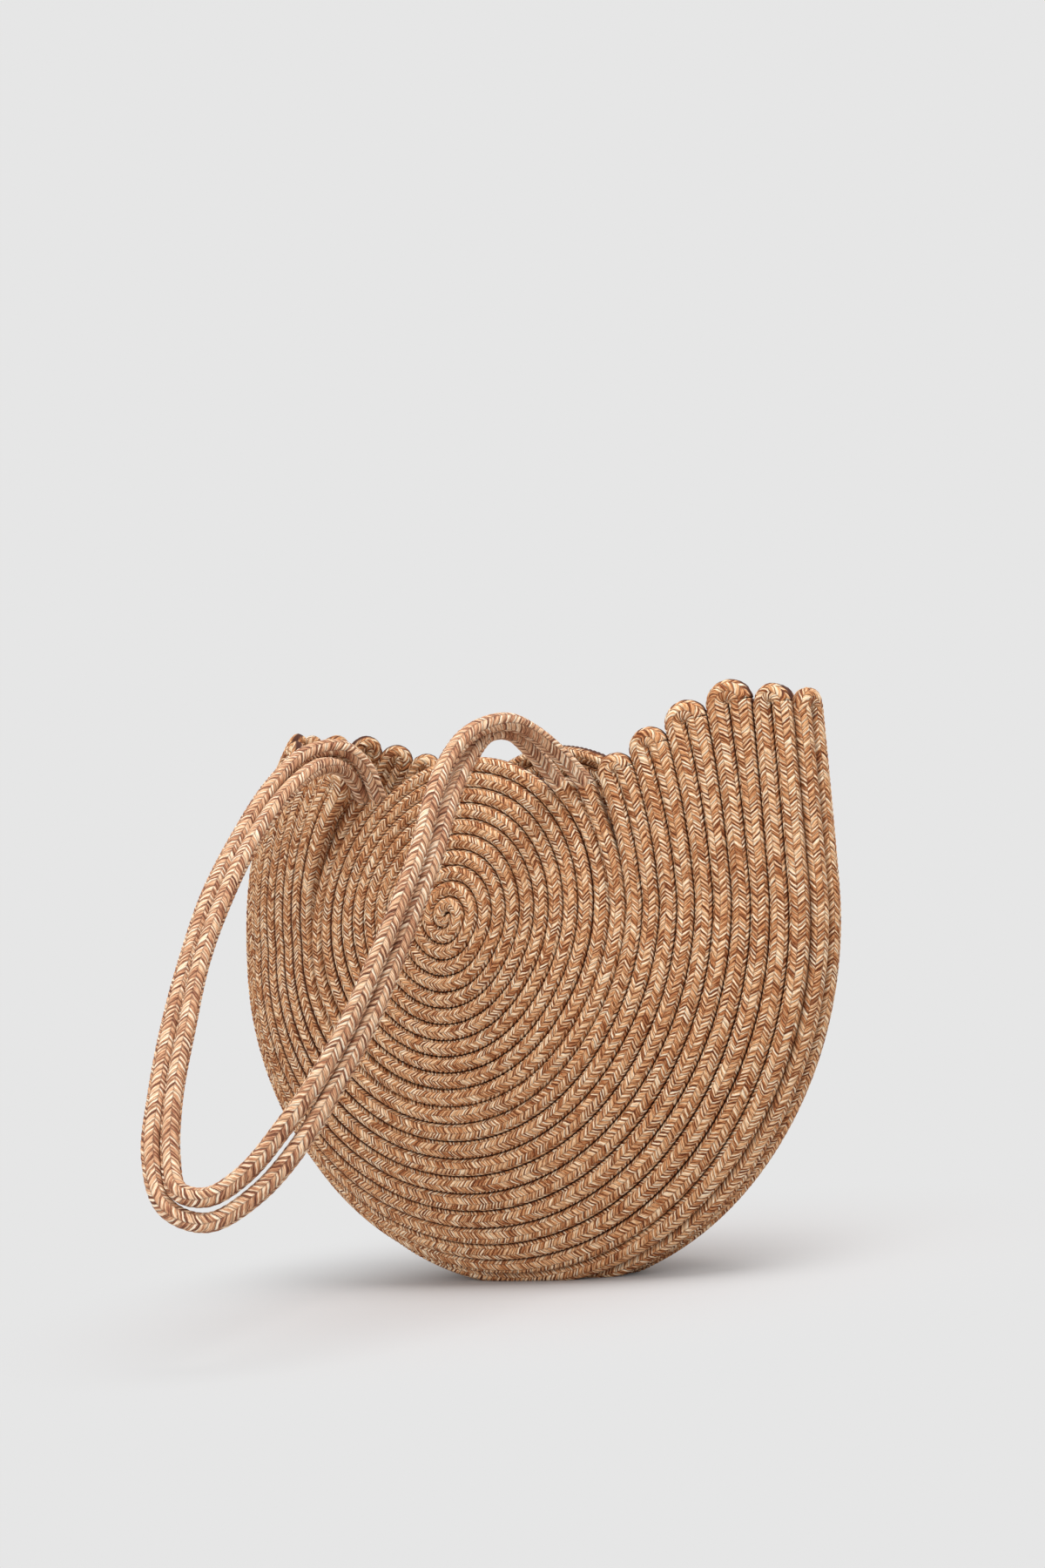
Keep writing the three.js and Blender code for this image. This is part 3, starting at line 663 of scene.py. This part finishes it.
def ring_points(stations, out, side, height):
    """The points of each ring of a cord, from the middle of its inner side round."""
    turned = np.arange(SIDES)[None, :] / SIDES * FULL + math.pi
    half_width = stations[:, WIDTH, None] / 2 - RELIEF * RELIEF_INSIDE + height
    half_thickness = stations[:, THICKNESS, None] / 2 - RELIEF * RELIEF_INSIDE + height
    outward = flattened(np.cos(turned)) * half_thickness
    sideways = flattened(np.sin(turned)) * half_width
    points = stations[:, None, PLACE] + outward[:, :, None] * out[:, None]
    points = points + sideways[:, :, None] * side[:, None]
    points[:, :, 2] = np.maximum(points[:, :, 2], 0.0)
    return points.reshape(-1, 3)


def quad_corners(ring_count, columns_round):
    """The rings and sides of the corners of a cord's quads, each split along the plait that crosses it."""
    sides = np.arange(SIDES)
    even = (sides * columns_round // SIDES % 2 == 0)[:, None]
    ring_steps = np.where(even, (0, 1, 1, 0), (0, 0, 1, 1))
    side_steps = np.where(even, (1, 1, 0, 0), (0, 1, 1, 0))
    corner_rings = np.arange(ring_count - 1)[:, None, None] + ring_steps
    corner_sides = np.broadcast_to(sides[:, None] + side_steps, corner_rings.shape)
    return corner_rings.reshape(-1, 4), corner_sides.reshape(-1, 4)


def cap_triangles(ring_count):
    """Triangles that close a cord's two ends, round two points that come after those of the rings."""
    side = np.arange(SIDES)
    following = (side + 1) % SIDES
    last = (ring_count - 1) * SIDES
    start_point = np.full(SIDES, ring_count * SIDES)
    start = np.stack([start_point, following, side], -1)
    end = np.stack([start_point + 1, last + side, last + following], -1)
    return np.concatenate([start, end])


def faceted_object(name, vertices, quads, triangles, uv, material):
    """An object of quads and triangles, with a place on the braid for each corner."""
    mesh = bpy.data.meshes.new(name)
    mesh.vertices.add(len(vertices))
    mesh.vertices.foreach_set("co", vertices.astype(np.float32).ravel())
    corners = np.concatenate([quads.ravel(), triangles.ravel()])
    mesh.loops.add(len(corners))
    mesh.loops.foreach_set("vertex_index", corners.astype(np.int32))
    sizes = np.concatenate([np.full(len(quads), 4), np.full(len(triangles), 3)])
    mesh.polygons.add(len(sizes))
    mesh.polygons.foreach_set("loop_start", (np.cumsum(sizes) - sizes).astype(np.int32))
    mesh.polygons.foreach_set("use_smooth", np.ones(len(sizes), bool))
    mesh.update(calc_edges=True)
    mesh.uv_layers.new(name="braid").data.foreach_set("uv", uv.astype(np.float32).ravel())
    mesh.validate()
    mesh.materials.append(material)
    obj = bpy.data.objects.new(name, mesh)
    bpy.context.scene.collection.objects.link(obj)
    return obj


def braided_cord(name, stations, first_ring, columns_round, material, first_column=0, column_turn=0.0):
    """A braided cord with a ring at each station. The braid's stitches are counted from its first ring."""
    tangent = unit(np.gradient(stations[:, PLACE], axis=0))
    out = stations[:, OUT]
    out = unit(out - (out * tangent).sum(1)[:, None] * tangent)
    side = np.cross(tangent, out)
    # On the bag's left the columns of plaits turn a little, and the painted shade on the cords' sides shows
    on_left = np.clip((TURN_START - stations[:, 0]) / TURN_LENGTH, 0, 1)
    turn = column_turn * side[:, 0] * on_left
    stitches = (np.arange(len(stations))[:, None] + first_ring) / RINGS_PER_STITCH
    columns = np.arange(SIDES)[None, :] / SIDES * columns_round + turn[:, None]
    points = ring_points(stations, out, side, plait_height(stitches, columns) * RELIEF)
    vertices = np.concatenate([points, stations[:1, PLACE], stations[-1:, PLACE]])
    vertices = vertices / METRE - (0, ORIGIN_Y / METRE, 0)
    rings, sides = quad_corners(len(stations), columns_round)
    triangles = cap_triangles(len(stations))
    corner_stitches = (rings + first_ring) / RINGS_PER_STITCH
    corner_columns = sides / SIDES * columns_round + turn[rings] + first_column
    uv = np.stack([corner_stitches, corner_columns], -1).reshape(-1, 2)
    uv = np.concatenate([uv, np.zeros((triangles.size, 2))])
    return faceted_object(name, vertices, rings * SIDES + sides % SIDES, triangles, uv, material)


class Nodes:
    """Short calls for building a node tree, from an empty start."""

    def __init__(self, owner):
        owner.use_nodes = True
        self.tree = owner.node_tree
        self.tree.nodes.clear()

    def add(self, kind, inputs=None, **settings):
        node = self.tree.nodes.new(kind)
        for key, value in settings.items():
            setattr(node, key, value)
        for key, value in (inputs or {}).items():
            if isinstance(value, bpy.types.NodeSocket):
                self.tree.links.new(value, node.inputs[key])
            else:
                node.inputs[key].default_value = value
        return node

    def math(self, operation, a, b=0.0, c=0.0):
        return self.add("ShaderNodeMath", {0: a, 1: b, 2: c}, operation=operation).outputs[0]

    def triple(self, x, y, z):
        return self.add("ShaderNodeCombineXYZ", {0: x, 1: y, 2: z}).outputs[0]

    def random(self, x, y, z):
        place = self.triple(x, y, z)
        return self.add("ShaderNodeTexWhiteNoise", {0: place}, noise_dimensions="3D").outputs[0]

    def ramp(self, value, stops):
        node = self.add("ShaderNodeValToRGB", {0: value})
        elements = node.color_ramp.elements
        while len(elements) < len(stops):
            elements.new(0.5)
        for element, (place, rgb) in zip(elements, stops):
            element.position = place
            element.color = colour(rgb)
        return node.outputs[0]


def linear(value):
    """The light that an sRGB value from 0 to 255 stands for."""
    value /= 255
    return value / 12.92 if value <= 0.04045 else ((value + 0.055) / 1.055) ** 2.4


def colour(rgb):
    return (linear(rgb[0]), linear(rgb[1]), linear(rgb[2]), 1)


def from_edges(n, share):
    """0 at either edge of a strip and 1 in its middle."""
    return n.math("SUBTRACT", 1.0, n.math("ABSOLUTE", n.math("MULTIPLY_ADD", share, 2.0, -1.0)))


def straw_tone(n, phase, column):
    """A tone for each straw. Pale and dark ones partly take turns, so that no plait is all of one tone."""
    straw = n.math("FLOOR", n.math("MULTIPLY", phase, STRAWS_PER_PLAIT))
    own = n.random(straw, column, STRAW_SEED)
    by_turns = n.math("MODULO", n.math("ABSOLUTE", straw), 2.0)
    return n.math("MULTIPLY_ADD", own, 1 - BY_TURNS, n.math("MULTIPLY", by_turns, BY_TURNS))


def fibres(n, phase, share, tone):
    """Fine streaks along the plaits."""
    place = n.triple(
        n.math("MULTIPLY", phase, FIBRES_PER_PLAIT),
        n.math("MULTIPLY", share, FIBRE_CHANGES),
        n.math("MULTIPLY", tone, FIBRE_SEEDS),
    )
    noise = {"Vector": place, "Scale": 1.0, "Detail": 2.0, "Roughness": 0.6}
    return n.add("ShaderNodeTexNoise", noise).outputs[0]


def clear_of_gaps(n, from_edge, from_side):
    """Painted shade: 1 on a plait, and less in the thin gap beside it, least where columns meet."""
    beside = n.math("MINIMUM", n.math("MULTIPLY", from_edge, EDGE_RISE), 1.0)
    between = n.math("MINIMUM", n.math("MULTIPLY_ADD", from_side, SIDE_RISE, SIDE_START), 1.0)
    return n.math("MULTIPLY_ADD", n.math("MULTIPLY", beside, between), 1 - GAP_LIGHT, GAP_LIGHT)


def clear_of_side_shade(n, columns, side_shade):
    """Where painted shade falls: 0 in the middle of a cord's two sides, where it lies against its
    neighbours, and 1 away from them.
    """
    half_round = n.math("MODULO", columns, BAG_COLUMNS / 2)
    to_side = n.math("ABSOLUTE", n.math("SUBTRACT", half_round, BAG_COLUMNS / 4))
    clear = n.math("MULTIPLY_ADD", to_side, SIDE_SHADE_RISE, 1.0 - side_shade)
    clear = n.math("MINIMUM", n.math("MAXIMUM", clear, 0.0), 1.0)
    in_open_groove = n.math("GREATER_THAN", columns, OPEN_FROM)
    return n.math("MAXIMUM", clear, n.math("MULTIPLY", in_open_groove, OPEN_CLEAR))


def straw_material(name, brightness, saturation, contrast, side_shade):
    """Plaited straw: flat straws of many tones with fibres along them, with painted shade between plaits and
    rows.
    """
    material = bpy.data.materials.new(name)
    n = Nodes(material)
    uv = n.add("ShaderNodeUVMap", uv_map="braid").outputs[0]
    along, columns, _ = n.add("ShaderNodeSeparateXYZ", {0: uv}).outputs
    column = n.math("FLOOR", columns)
    share = n.math("SUBTRACT", columns, column)
    odd = n.math("MODULO", column, 2.0)
    way = n.math("MULTIPLY_ADD", odd, -2.0, 1.0)
    noise = n.add("ShaderNodeTexNoise", {"Vector": uv, "Scale": WANDER_SCALE, "Detail": 2.0}).outputs[0]
    wander = n.math("MULTIPLY_ADD", noise, WANDER, -WANDER / 2)
    lag = n.math("MULTIPLY_ADD", odd, COLUMN_LAG, wander)
    phase = n.math("ADD", n.math("MULTIPLY_ADD", way, share, along), lag)
    plait = n.math("FLOOR", phase)
    from_edge = from_edges(n, n.math("SUBTRACT", phase, plait))
    from_side = from_edges(n, share)

    plait_tone = n.random(plait, column, 0.0)
    tone = straw_tone(n, phase, column)
    fibre = fibres(n, phase, share, plait_tone)
    mix = n.math("MULTIPLY_ADD", plait_tone, PLAIT_SHARE, n.math("MULTIPLY", tone, STRAW_SHARE))
    mix = n.math("ADD", mix, n.math("MULTIPLY_ADD", fibre, FIBRE_SHARE, TONE_START))
    mix = n.math("MULTIPLY_ADD", mix, contrast, TONE_MIDDLE * (1 - contrast))
    straw = n.ramp(mix, STRAW_TONES)

    # Painted shade in the gaps between plaits and on the cords' sides against their neighbours
    clear = n.math("MULTIPLY", clear_of_gaps(n, from_edge, from_side), clear_of_side_shade(n, columns, side_shade))
    shades = {0: clear, 6: colour(PAINTED_SHADE_COLOUR), 7: straw}
    shaded = n.add("ShaderNodeMix", shades, data_type="RGBA").outputs[2]
    tinted = {"Saturation": saturation, "Value": brightness, "Color": shaded}
    base = n.add("ShaderNodeHueSaturation", tinted).outputs[0]

    ridge = n.math("POWER", from_edge, 0.5)
    dive = n.math("POWER", from_side, 0.5)
    height = n.math("MULTIPLY", ridge, n.math("MULTIPLY_ADD", dive, 0.5, 0.5))
    height = n.math("ADD", height, n.math("MULTIPLY", tone, STRAW_HEIGHT))
    bumps = {"Strength": BUMP_STRENGTH, "Distance": BUMP_HEIGHT, "Height": height}
    normal = n.add("ShaderNodeBump", bumps).outputs[0]
    surface = {"Base Color": base, "Roughness": ROUGHNESS, "Normal": normal, "Specular IOR Level": SPECULAR}
    shader = n.add("ShaderNodeBsdfPrincipled", surface).outputs[0]
    n.add("ShaderNodeOutputMaterial", {0: shader})
    return material


# The bag's cords get painted shade on their sides, where they lie against their neighbours; the strap's
# cords get none
bag_straw = straw_material("bag_straw", brightness=0.98, saturation=1.1, contrast=1.45, side_shade=1.95)
strap_straw = straw_material("strap_straw", brightness=0.96, saturation=0.97, contrast=1.2, side_shade=0.0)


def strap_cord(name, node, right_x, middle, left_x):
    """A strap cord from its right root to its left one, through the points between them."""
    between = [np.array(p, float) + (0, 0, DISC_HEIGHT) for p in middle]
    points = [root_point(right_x)] + between + [root_point(left_x)]
    stations = [np.concatenate([p, (0, 0, 0), [STRAP_CORD, STRAP_CORD]]) for p in points]
    rings = resample(smooth_curve(stations), STRAP_STITCH / RINGS_PER_STITCH)
    tangent = unit(np.gradient(rings[:, PLACE], axis=0))
    # The outward direction is carried along the cord without a twist
    out = np.array(STRAP_OUT)
    for i in range(len(rings)):
        out = out - out @ tangent[i] * tangent[i]
        out /= np.linalg.norm(out)
        rings[i, OUT] = out
    obj = braided_cord(name, rings, 0, STRAP_COLUMNS, strap_straw)
    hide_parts(node)
    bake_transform(obj)


def bag_rings():
    """The rings of each of the bag's cords, by name."""
    step = BAG_STITCH / RINGS_PER_STITCH
    cords = {}
    for name, path in bag_paths():
        stations = np.array(path)
        # A cord that is narrower than its row is thinner too
        narrowing = np.minimum(0.5 + 0.5 * stations[:, WIDTH, None] / ROW_PITCH, 1)
        cords[name] = resample(np.concatenate([stations, CORD_THICKNESS * narrowing], axis=1), step)
    swell_together(cords[f"front_row_{FIRST_ROW}"], cords[f"front_row_{FIRST_ROW + 1}"])
    round_end(cords["front_disc_coil"], step, at_start=True)
    round_end(cords["back_disc_coil"], step, at_start=False)
    return cords


def add_bag():
    first_ring = 0
    for name, rings in bag_rings().items():
        first_column = OPEN_FIRST_COLUMN if name.endswith(OPEN_GROOVES) else FIRST_COLUMN
        title = name.replace("coil", "braid").replace("row", "braid_row")
        obj = braided_cord(title, rings, first_ring, BAG_COLUMNS, bag_straw, first_column, COLUMN_TURN)
        first_ring += len(rings) - 1
        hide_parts(name)
        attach(obj, "bag")


strap_cord("strap_cord_braid_inner", "strap_cord_inner", INNER_ROOT_RIGHT_X, INNER_STRAP,
           INNER_ROOT_LEFT_X)
strap_cord("strap_cord_braid_outer", "strap_cord_outer", OUTER_ROOT_RIGHT_X, OUTER_STRAP,
           OUTER_ROOT_LEFT_X)
add_bag()


def add_floor():
    """A pale floor that the camera sees turn into the plain background away from the bag."""
    material = bpy.data.materials.new("floor")
    n = Nodes(material)
    place = n.add("ShaderNodeTexCoord").outputs["Object"]
    distance = n.add("ShaderNodeVectorMath", {0: place}, operation="LENGTH").outputs["Value"]
    fade = {"Value": distance, "From Min": FADE_START, "From Max": FADE_END}
    away = n.add("ShaderNodeMapRange", fade, interpolation_type="SMOOTHSTEP").outputs[0]
    lit = n.add("ShaderNodeBsdfDiffuse", {"Color": colour(FLOOR_COLOUR)}).outputs[0]
    plain = n.add("ShaderNodeEmission", {"Color": colour(BACKGROUND), "Strength": 1.0}).outputs[0]
    seen = n.add("ShaderNodeLightPath").outputs["Is Camera Ray"]
    sheet = n.add("ShaderNodeMixShader", {0: n.math("MULTIPLY", away, seen), 1: lit, 2: plain}).outputs[0]
    n.add("ShaderNodeOutputMaterial", {0: sheet})
    far = FLOOR_REACH
    mesh = bpy.data.meshes.new("floor")
    mesh.from_pydata([(-far, -far, 0), (far, -far, 0), (far, far, 0), (-far, far, 0)], [], [(0, 1, 2, 3)])
    mesh.materials.append(material)
    floor = bpy.data.objects.new("floor", mesh)
    bpy.context.scene.collection.objects.link(floor)


def add_light(name, place, size, power):
    """A round soft light that shines on the bag, with its place in metres."""
    data = bpy.data.lights.new(name, "AREA")
    data.shape = "DISK"
    data.size = size
    data.energy = power
    light = bpy.data.objects.new(name, data)
    light.location = place
    light.rotation_euler = (Vector(LIGHT_AIM) - Vector(place)).to_track_quat("-Z", "Y").to_euler()
    bpy.context.scene.collection.objects.link(light)


def add_sky():
    """An even pale sky, which is also the plain background."""
    world = bpy.data.worlds.new("world")
    bpy.context.scene.world = world
    n = Nodes(world)
    sky = n.add("ShaderNodeBackground", {"Color": colour(BACKGROUND), "Strength": 1.0}).outputs[0]
    n.add("ShaderNodeOutputWorld", {0: sky})


add_floor()
add_light("key", place=(0.8, -0.1, 2.1), size=1.3, power=36)
add_light("fill", place=(0.1, -2.3, 0.6), size=2.2, power=20)
add_sky()
bpy.context.scene.view_settings.view_transform = "Standard"
